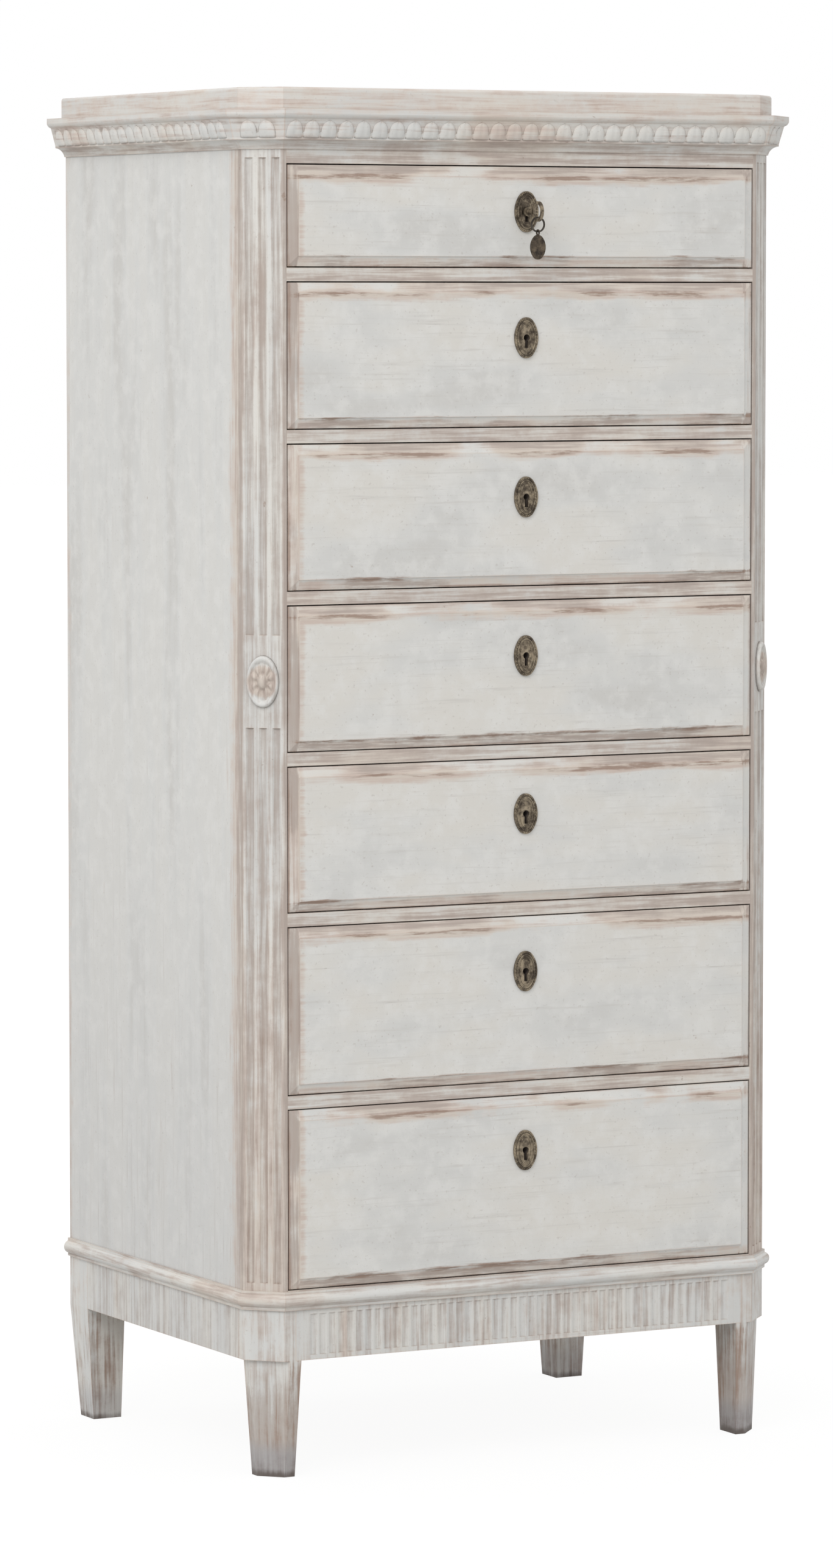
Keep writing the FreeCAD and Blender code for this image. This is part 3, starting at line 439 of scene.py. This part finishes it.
def bare_pine(name, grain, board_width=None):
    """Old unpainted pine with bands of late wood, fine fibres, stains and a few knots."""
    shader = Shader(name)
    place = shader.place()
    if board_width:
        board = shader.calc("FLOOR", shader.calc("DIVIDE", shader.axis(place, "X"), board_width))
        shift = shader.add("ShaderNodeCombineXYZ", {"Z": shader.times(board, BOARD_SHIFT)})
        place = shader.add("ShaderNodeVectorMath", {0: place, 1: shift}, operation="ADD")
    drift = shader.noise(place, 5.0)
    rings = shader.noise(place, grain, detail=2.0, rough=0.4)
    fibres = shader.noise(place, tuple(10 * scale for scale in grain), detail=4.0, rough=0.6)
    knots = shader.add("ShaderNodeTexVoronoi", {"Vector": place, "Scale": 6.0}, output="Distance")
    waves = shader.calc("FRACT", shader.times(rings, 11.0))
    late_wood = shader.band(waves, 0.3, 0.95, 0.5)
    colour = shader.blend(shader.ramp(drift, 0.35, 0.65), PALE_PINE, DULL_PINE)
    colour = shader.blend(late_wood, colour, LATE_WOOD)
    colour = shader.blend(shader.band(fibres, 0.52, 0.7, 0.4), colour, DARK_FIBRES)
    colour = shader.blend(shader.ramp(knots, 0.08, 0.02), colour, KNOTS)
    # Painted shade: ambient occlusion darkens the wood deep in corners
    colour = shader.blend(shader.band(shader.corners(12 * MM), 0.3, 0.9, 0.6), colour, PINE_CORNER_SHADE)
    roughness = shader.plus(0.62, shader.times(fibres, 0.15))
    relief = shader.plus(fibres, shader.times(late_wood, 0.6))
    return shader.finish(colour, roughness, shader.bump(relief, 0.3 * MM, 0.4))


def old_metal(name, dull, rubbed, roughness, metallic):
    """Tarnished metal, brighter where it is rubbed and darker in its hollows."""
    shader = Shader(name)
    place = shader.place()
    tarnish = shader.noise(place, 160.0, detail=5.0, rough=0.65)
    pits = shader.noise(place, 900.0)
    edges = shader.band(shader.worn_edges(0.8 * MM), 0.03, 0.35, 0.6)
    hollow = shader.band(shader.corners(2.5 * MM), 0.12, 0.6, 0.85)
    colour = shader.blend(shader.ramp(tarnish, 0.35, 0.7), dull, rubbed)
    colour = shader.blend(edges, colour, rubbed)
    colour = shader.blend(hollow, colour, METAL_HOLLOWS)
    shine = shader.plus(roughness, shader.times(tarnish, 0.25))
    relief = shader.plus(tarnish, shader.times(pits, 0.5))
    return shader.finish(colour, shine, shader.bump(relief, 0.12 * MM, 0.5), metallic)


def dress(names, material):
    """Give one material to several nodes."""
    for name in names:
        mesh = nodes[name].data
        mesh.materials.clear()
        mesh.materials.append(material)


# Edges that turn by less than this stay as they are
LEAST_EDGE_TURN = math.radians(32)


def soften(names, width, segments=2):
    """Ease the sharp edges of nodes."""
    for name in names:
        bevel = nodes[name].modifiers.new("eased_edges", "BEVEL")
        bevel.width = width
        bevel.segments = segments
        bevel.limit_method = "ANGLE"
        bevel.angle_limit = LEAST_EDGE_TURN
        bevel.harden_normals = False
        bevel.use_clamp_overlap = True


def numbered(word):
    """The names of a node that each drawer has one of."""
    return ["%s_%d" % (word, number) for number in DRAWERS]


# Places on the carcass
HALF_WIDTH = -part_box("side_panel_left")[0].x
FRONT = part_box("corner_post_left")[0].y
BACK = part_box("side_panel_left")[1].y
CANT = 30 * MM
CANT_HALF = CANT / math.sqrt(2)
DIAGONAL = 1 / math.sqrt(2)
CORNER_X = HALF_WIDTH - CANT / 2
CORNER_Y = FRONT + CANT / 2
APRON_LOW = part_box("apron_front")[0]
CORNICE_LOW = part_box("cornice")[0]
ROSETTE_LOW, ROSETTE_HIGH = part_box("post_rosettes")
ROSETTE_LEVEL = (ROSETTE_LOW.z + ROSETTE_HIGH.z) / 2
POST_FLUTE_DEPTH = 2.2 * MM
POST_WEAR_TOP = 0.75
APRON_FLUTE_DEPTH = 1.2 * MM

# Painted sides, corner posts and legs
for hand, side in HANDS.items():
    panel = "side_panel_" + hand
    border = side_border(*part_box(panel))
    side_paint = paint("paint_" + panel, UPRIGHT, patches=0.1, warmth=0.4, drift=0.6, combed=0.25,
                       zone=border)
    dress([panel], side_paint)

    post = "corner_post_" + hand
    corner = (side * CORNER_X, CORNER_Y, 0)
    flutes = hollows(corner, (-side * DIAGONAL, DIAGONAL, 0), CANT_HALF, POST_FLUTE_DEPTH, 0.2)
    worn = post_wear(flutes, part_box(post)[0].z, POST_WEAR_TOP, ROSETTE_LEVEL)
    post_paint = paint("paint_" + post, UPRIGHT, ground=0.22, scars=0.06, smoke_and_shade=0.34, drift=0.8, pale=0.0,
                       seams=0.15, zone=worn)
    dress([post], post_paint)

    leg = "leg_front_" + hand
    faces = leg_faces(APRON_LOW.z, 0.45)
    dress([leg], paint("paint_" + leg, UPRIGHT, ground=0.3, scars=0.18, smoke_and_shade=0.29, pale=0.0, zone=faces))

rear_faces = leg_faces(APRON_LOW.z, 0.24)
rear_paint = paint("paint_legs_rear", UPRIGHT, ground=0.25, scars=0.1, smoke_and_shade=0.16, pale=0.2, zone=rear_faces)
dress(["legs_rear"], rear_paint)
soften(["side_panel_left", "side_panel_right", "corner_post_left", "corner_post_right"], 0.6 * MM)
soften(["leg_front_left", "leg_front_right", "legs_rear"], 1.6 * MM, segments=3)

# Painted rails, mouldings, top and aprons
RAILS = ["top_rail", "drawer_rails"]
dress(RAILS, paint("paint_rails", LEVEL, ground=0.45, scars=0.18, smoke_and_shade=0.42, seams=0.1))
cornice_paint = paint("paint_cornice", LEVEL, ground=0.36, edge_wear=0.6, scars=0.08, smoke_and_shade=0.14,
                      zone=cornice_levels(CORNICE_LOW))
dress(["cornice"], cornice_paint)
leaf_paint = paint("paint_leaves", LEVEL, ground=0.24, edge_wear=0.4, smoke_and_shade=0.12, seams=0.4)
dress(["plinth_moulding"], paint("paint_plinth", LEVEL, ground=0.28, edge_wear=0.5, scars=0.16, smoke_and_shade=0.34))
top_paint = paint("paint_top", LEVEL, ALONG_TOP, ground=0.4, edge_wear=0.7, scars=0.08, smoke_and_shade=0.12,
                  zone=top_strokes)
dress(["top_board"], top_paint)
side_apron_paint = paint("paint_apron_sides", UPRIGHT, ground=0.14, smoke_and_shade=0.36, pale=0.0, combed=0.25,
                         dust_and_shade=0.06)
dress(["apron_sides"], side_apron_paint)
apron_flutes = hollows((0, APRON_LOW.y, 0), (0, 1, 0), HALF_WIDTH, APRON_FLUTE_DEPTH, 0.16)
apron_paint = paint("paint_apron_front", UPRIGHT, ground=0.26, smoke_and_shade=0.26, pale=0.0, combed=0.3, dust_and_shade=0.03,
                    zone=apron_flutes)
dress(["apron_front"], apron_paint)
soften(RAILS + ["apron_front", "apron_sides"], 0.6 * MM)
soften(["cornice", "plinth_moulding"], 0.7 * MM)

# Painted drawer fronts, each with its own worn border
FRONTS = numbered("drawer_front")
ESCUTCHEONS = numbered("escutcheon")
for number, front in zip(DRAWERS, FRONTS):
    border = front_border(*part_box(front), *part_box("escutcheon_%d" % number))
    dress([front], paint("paint_" + front, LEVEL, patches=0.12, drift=0.5, seams=0.1, zone=border))
soften(FRONTS, 0.6 * MM)

# Bare wood inside and behind, with the grain along the axis with the small number
BACK_BOARDS = 4
BACK_LOW, BACK_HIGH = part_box("back_boards")
BOARD_WIDTH = (BACK_HIGH.x - BACK_LOW.x) / BACK_BOARDS
INSIDE = ["drawer_runners", "drawer_guides", "drawer_stops", "bottom_board", "sub_top"]
INSIDE += numbered("drawer_box")
dress(["back_boards"], bare_pine("pine_upright", (16, 16, 0.5), BOARD_WIDTH))
dress(["apron_back"], bare_pine("pine_across", (0.5, 16, 16)))
dress(INSIDE, bare_pine("pine_front_to_back", (16, 0.5, 16)))
soften(["back_boards", "apron_back"] + INSIDE, 0.7 * MM)

# Metal
LOCKS = numbered("lock") + numbered("lock_bolt")
brass = old_metal("aged_brass", DULL_BRASS, RUBBED_BRASS, 0.38, 0.55)
iron = old_metal("lock_iron", DULL_IRON, RUBBED_IRON, 0.45, 0.6)
tag_brass = old_metal("dark_tag", DULL_TAG, RUBBED_TAG, 0.4, 0.5)
dress(ESCUTCHEONS + ["key"], brass)
dress(LOCKS + ["key_ring"], iron)
dress(["key_tag"], tag_brass)
soften(ESCUTCHEONS + ["key", "key_tag"], 0.5 * MM, segments=3)
soften(LOCKS, 0.3 * MM)
soften(["key_ring"], 0.55 * MM, segments=4)


# Points nearer than this are one point
WELD_DISTANCE = 0.005 * MM


def piece(name, mesh_builder, body, material):
    """A carved or cast piece that moves with a body."""
    mesh = bpy.data.meshes.new(name)
    shape = bmesh.new()
    mesh_builder(shape)
    bmesh.ops.remove_doubles(shape, verts=shape.verts, dist=WELD_DISTANCE)
    bmesh.ops.holes_fill(shape, edges=[edge for edge in shape.edges if edge.is_boundary])
    bmesh.ops.recalc_face_normals(shape, faces=shape.faces)
    shape.to_mesh(mesh)
    shape.free()
    mesh.materials.append(material)
    mesh.shade_smooth()
    item = bpy.data.objects.new(name, mesh)
    bpy.context.scene.collection.objects.link(item)
    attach(item, body)
    return item


def sheet_of(shape, rows):
    """Join rows of points into a sheet of faces."""
    grid = [[shape.verts.new(point) for point in row] for row in rows]
    for upper, lower in zip(grid, grid[1:]):
        for number in range(len(upper) - 1):
            shape.faces.new((upper[number], upper[number + 1], lower[number + 1], lower[number]))


BALL_ROWS = 6


def ball(shape, move, radius, columns):
    """A ball of faces from pole to pole, put in its place by a matrix."""
    rows = []
    for step in range(BALL_ROWS + 1):
        down = math.pi * step / BALL_ROWS
        row = []
        for column in range(columns + 1):
            turn = 2 * math.pi * column / columns
            flat = Vector((math.sin(turn), math.cos(turn))) * math.sin(down)
            row.append(move @ (Vector((flat.x, flat.y, math.cos(down))) * radius))
        rows.append(row)
    sheet_of(shape, rows)


# Carved leaf tips along the cornice, on the leaning band of its profile
BAND_LOW = CORNICE_LOW.z + 11 * MM
BAND_OUT = 11.5 * MM
BAND_LEAN = 5 / 18
LEAF_HEIGHT = 16.5 * MM
LEAF_PITCH = 18.45 * MM
LEAF_RISE = 3.2 * MM
LEAF_SINK = 0.3 * MM
LEAF_SHOULDER = 0.25
TIP_ROUNDNESS = 2.4
RIB_DEPTH = 0.25
RIB_WIDTH = 0.16
LEAF_ROWS = 9
LEAF_HALF_COLUMNS = 5


def leaf_point(along, up, across, swollen=1):
    """A point of one leaf: along the moulding, out from the carcass, up."""
    rise = up * LEAF_HEIGHT
    past_shoulder = max((up - LEAF_SHOULDER) / (1 - LEAF_SHOULDER), 0)
    half_width = LEAF_PITCH / 2 * math.sqrt(max(1 - past_shoulder ** TIP_ROUNDNESS, 0))
    dome = (1 - across ** 2) ** 0.6 * (0.45 + 0.55 * math.sin(math.pi * min(up + 0.12, 1)))
    rib = RIB_DEPTH * math.exp(-(across / RIB_WIDTH) ** 2)
    swell = swollen * LEAF_RISE * (dome - rib * dome) - LEAF_SINK
    out = BAND_OUT + rise * BAND_LEAN + swell
    return Vector((along + across * half_width, -out, BAND_LOW + rise))


def leaves(half_length, start, turn):
    """Leaves along one length of the cornice, set about its middle."""
    columns = [step / LEAF_HALF_COLUMNS for step in range(-LEAF_HALF_COLUMNS, LEAF_HALF_COLUMNS + 1)]

    def build(shape):
        count = int(2 * half_length / LEAF_PITCH)
        move = Matrix.Translation(start) @ Matrix.Rotation(math.radians(turn), 4, "Z")
        for number in range(count):
            middle = (number - (count - 1) / 2) * LEAF_PITCH
            rows = [[leaf_point(middle, 0, across, swollen=0) for across in columns]]
            for step in range(LEAF_ROWS + 1):
                rows.append([leaf_point(middle, step / LEAF_ROWS, across) for across in columns])
            sheet_of(shape, [[move @ point for point in row] for row in rows])

    return build


# Half length, middle and turn of each length of the cornice
SIDE_HALF = (BACK - FRONT - CANT) / 2
MITRE_REACH = (math.sqrt(2) - 1) * BAND_OUT
CORNER_HALF = CANT_HALF + MITRE_REACH
CORNICE_LENGTHS = {
    "front": (HALF_WIDTH - CANT + MITRE_REACH, (0, FRONT, 0), 0),
    "corner_left": (CORNER_HALF, (-CORNER_X, CORNER_Y, 0), -45),
    "corner_right": (CORNER_HALF, (CORNER_X, CORNER_Y, 0), 45),
    "side_left": (SIDE_HALF, (-HALF_WIDTH, BACK - SIDE_HALF, 0), -90),
    "side_right": (SIDE_HALF, (HALF_WIDTH, BACK - SIDE_HALF, 0), 90),
}
for word, (half_length, start, turn) in CORNICE_LENGTHS.items():
    piece("leaf_tips_" + word, leaves(half_length, Vector(start), turn), "carcass", leaf_paint)


# Carved rosettes on the canted corners, in place of their plain blanks
ROSETTE_HALF = Vector((16.5 * MM, 25.5 * MM))
ROSETTE_RINGS = 24
ROSETTE_SPOKES = 112
PETALS = 10
GROUND_RISE = 1.2 * MM
BOSS_RISE = 5.4 * MM
RIM_RISE = 3.2 * MM
PETAL_RISE = 2.6 * MM
BOSS_RADIUS = 0.3
EDGE_SHARE = 0.05


def hump(value, low, high):
    """A round rise between two values."""
    return math.sin(math.pi * min(max((value - low) / (high - low), 0), 1))


def rosette_height(radius, turn):
    """How far the carving stands out at a share of the radius and an angle."""
    boss = BOSS_RISE * math.sqrt(max(1 - (radius / BOSS_RADIUS) ** 2, 0))
    rim = RIM_RISE * hump(radius, 0.72, 1.04) ** 0.6
    petal = PETAL_RISE * hump(radius, 0.26, 0.76) ** 0.8 * (0.6 + 0.4 * math.cos(PETALS * turn))
    return (GROUND_RISE + max(boss, rim, petal)) * min((1 - radius) / EDGE_SHARE, 1)


def rosette(side):
    """The face of one rosette, which looks out of its canted corner."""

    def build(shape):
        start = Vector((side * CORNER_X, CORNER_Y, ROSETTE_LEVEL))
        move = Matrix.Translation(start) @ Matrix.Rotation(math.radians(45 * side), 4, "Z")
        rows = []
        for ring in range(ROSETTE_RINGS + 1):
            radius = ring / ROSETTE_RINGS
            row = []
            for spoke in range(ROSETTE_SPOKES + 1):
                turn = 2 * math.pi * spoke / ROSETTE_SPOKES
                flat = Vector((math.sin(turn) * ROSETTE_HALF.x, math.cos(turn) * ROSETTE_HALF.y)) * radius
                row.append(move @ Vector((flat.x, -rosette_height(radius, turn), flat.y)))
            rows.append(row)
        sheet_of(shape, rows)

    return build


for hand, side in HANDS.items():
    spot = round_spot((side * CORNER_X, CORNER_Y, ROSETTE_LEVEL), 22 * MM, 0.7)
    rosette_paint = paint("paint_rosette_" + hand, UPRIGHT, edge_wear=0.4, smoke_and_shade=0.34, pale=0.0, zone=spot)
    piece("rosette_" + hand, rosette(side), "carcass", rosette_paint)
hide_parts("post_rosettes")


# Cast rims and beads on the keyhole plates. A rim has its inset across and along the plate, and its radius.
RIMS = [(3.4 * MM, 3.6 * MM, 0.8 * MM), (6.6 * MM, 6.4 * MM, 0.7 * MM)]
RIM_STEPS = 56
RIM_SIDES = 8
BEADS = 40
BEAD_INSET = 1.5 * MM
BEAD_RADIUS = 0.85 * MM
BEAD_COLUMNS = 8


def on_oval(centre, half_width, half_height, turn):
    """A point of an upright oval."""
    return centre + Vector((math.sin(turn) * half_width, 0, math.cos(turn) * half_height))


def oval_ring(shape, centre, half_width, half_height, radius):
    """An oval ring of round wire lying on a plate."""
    rows = []
    for step in range(RIM_STEPS + 1):
        turn = 2 * math.pi * step / RIM_STEPS
        middle = on_oval(centre, half_width, half_height, turn)
        outward = Vector((math.sin(turn) * half_height, 0, math.cos(turn) * half_width)).normalized()
        row = []
        for spoke in range(RIM_SIDES + 1):
            angle = 2 * math.pi * spoke / RIM_SIDES
            row.append(middle + outward * math.cos(angle) * radius + Vector((0, math.sin(angle) * radius, 0)))
        rows.append(row)
    sheet_of(shape, rows)


def plate_rims(low, high):
    """Two rims and a row of beads on the face of one plate."""

    def build(shape):
        half_width, half_height = (high.x - low.x) / 2, (high.z - low.z) / 2
        centre = Vector(((low.x + high.x) / 2, low.y, (low.z + high.z) / 2))
        for inset_across, inset_along, radius in RIMS:
            oval_ring(shape, centre, half_width - inset_across, half_height - inset_along, radius)
        for number in range(BEADS):
            turn = 2 * math.pi * number / BEADS
            bead = on_oval(centre, half_width - BEAD_INSET, half_height - BEAD_INSET, turn)
            ball(shape, Matrix.Translation(bead), BEAD_RADIUS, BEAD_COLUMNS)

    return build


for number in DRAWERS:
    rims = plate_rims(*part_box("escutcheon_%d" % number))
    piece("escutcheon_rims_%d" % number, rims, "drawer_%d" % number, brass)


# Nail heads that hold the back boards, two abreast in each board at three levels
NAIL_RADIUS = 3 * MM
NAIL_COLUMNS = 10
NAIL_FLATNESS = 0.3
NAIL_MARGIN = 12 * MM
NAIL_SHARES = (0.2, 0.8)


def nail_heads(shape):
    levels = (BACK_LOW.z + NAIL_MARGIN, (BACK_LOW.z + BACK_HIGH.z) / 2, BACK_HIGH.z - NAIL_MARGIN)
    squash = Matrix.Diagonal((1, NAIL_FLATNESS, 1, 1))
    for board in range(BACK_BOARDS):
        for share in NAIL_SHARES:
            for level in levels:
                centre = Vector((BACK_LOW.x + (board + share) * BOARD_WIDTH, BACK_HIGH.y, level))
                ball(shape, Matrix.Translation(centre) @ squash, NAIL_RADIUS, NAIL_COLUMNS)


piece("back_nails", nail_heads, "carcass", iron)


# Floor, white surroundings, light and camera, in metres and degrees
FLOOR_HALF = 30
FLOOR_WHITE_STRENGTH = 1.06
FLOOR_SHADOW_REACH = (0.4, 1.2)
FLOOR_WHITE_SHARE = 0.88
SURROUNDING_LIGHT = 0.9
LIGHT_PLACE = (-3.5, -3.1, 4.2)
LIGHT_TARGET = (0, 0, 0.7)
LIGHT_SIZE = 3.0
LIGHT_POWER = 112
CAMERA_PLACE = (-3.0525, -5.746, 1.1481)
CAMERA_DIP = 4.318
CAMERA_HEADING = -27.862
SENSOR_HEIGHT_MM = 36
LENS_MM = 147.86


def seen_directly(shader):
    """One for what the eye, a reflection or glass shows, nought for light that falls on the object."""
    ways = ("Is Camera Ray", "Is Glossy Ray", "Is Transmission Ray")
    return shader.greatest(*[shader.add("ShaderNodeLightPath", output=way) for way in ways])


def floor_material():
    """A pale floor that turns plain white away from the object, to the eye and in reflections."""
    shader = Shader("pale_floor")
    place = shader.place()
    colour = shader.blend(shader.noise(place, 3.0, detail=2.0), FLOOR_DARK, FLOOR_LIGHT)
    lit = shader.add("ShaderNodeBsdfDiffuse", {"Color": colour})
    white = shader.add("ShaderNodeEmission", {"Color": WHITE, "Strength": FLOOR_WHITE_STRENGTH})
    away = shader.add("ShaderNodeVectorMath", {0: place}, output="Value", operation="LENGTH")
    near, far = FLOOR_SHADOW_REACH
    fade = {"Value": away, "From Min": near, "From Max": far, "To Min": FLOOR_WHITE_SHARE}
    share = shader.times(shader.add("ShaderNodeMapRange", fade), seen_directly(shader))
    surface = shader.add("ShaderNodeMixShader", {0: share, 1: lit, 2: white})
    shader.add("ShaderNodeOutputMaterial", {"Surface": surface})
    return shader.owner


def floor():
    mesh = bpy.data.meshes.new("floor")
    corners = [(x * FLOOR_HALF, y * FLOOR_HALF, 0) for x, y in ((-1, -1), (1, -1), (1, 1), (-1, 1))]
    mesh.from_pydata(corners, [], [(0, 1, 2, 3)])
    mesh.materials.append(floor_material())
    item = bpy.data.objects.new("floor", mesh)
    bpy.context.scene.collection.objects.link(item)


def surroundings():
    """Even light from all round, and plain white behind the object."""
    world = bpy.data.worlds.new("studio")
    shader = Shader("studio", world)
    light = shader.add("ShaderNodeBackground", {"Color": WHITE, "Strength": SURROUNDING_LIGHT})
    white = shader.add("ShaderNodeBackground", {"Color": WHITE, "Strength": 1.0})
    mix = shader.add("ShaderNodeMixShader", {0: seen_directly(shader), 1: light, 2: white})
    shader.add("ShaderNodeOutputWorld", {"Surface": mix})
    bpy.context.scene.world = world


def soft_light():
    """A broad light from the upper left."""
    data = bpy.data.lights.new("key_light", "AREA")
    data.shape = "SQUARE"
    data.size = LIGHT_SIZE
    data.energy = LIGHT_POWER
    item = bpy.data.objects.new("key_light", data)
    item.location = LIGHT_PLACE
    towards = Vector(LIGHT_TARGET) - Vector(LIGHT_PLACE)
    item.rotation_euler = towards.to_track_quat("-Z", "Y").to_euler()
    bpy.context.scene.collection.objects.link(item)


def camera():
    data = bpy.data.cameras.new("camera")
    data.sensor_fit = "VERTICAL"
    data.sensor_height = SENSOR_HEIGHT_MM
    data.lens = LENS_MM
    item = bpy.data.objects.new("camera", data)
    item.location = CAMERA_PLACE
    item.rotation_euler = (math.radians(90 - CAMERA_DIP), 0, math.radians(CAMERA_HEADING))
    bpy.context.scene.collection.objects.link(item)
    bpy.context.scene.camera = item


floor()
surroundings()
soft_light()
camera()
bpy.context.scene.view_settings.view_transform = "Standard"
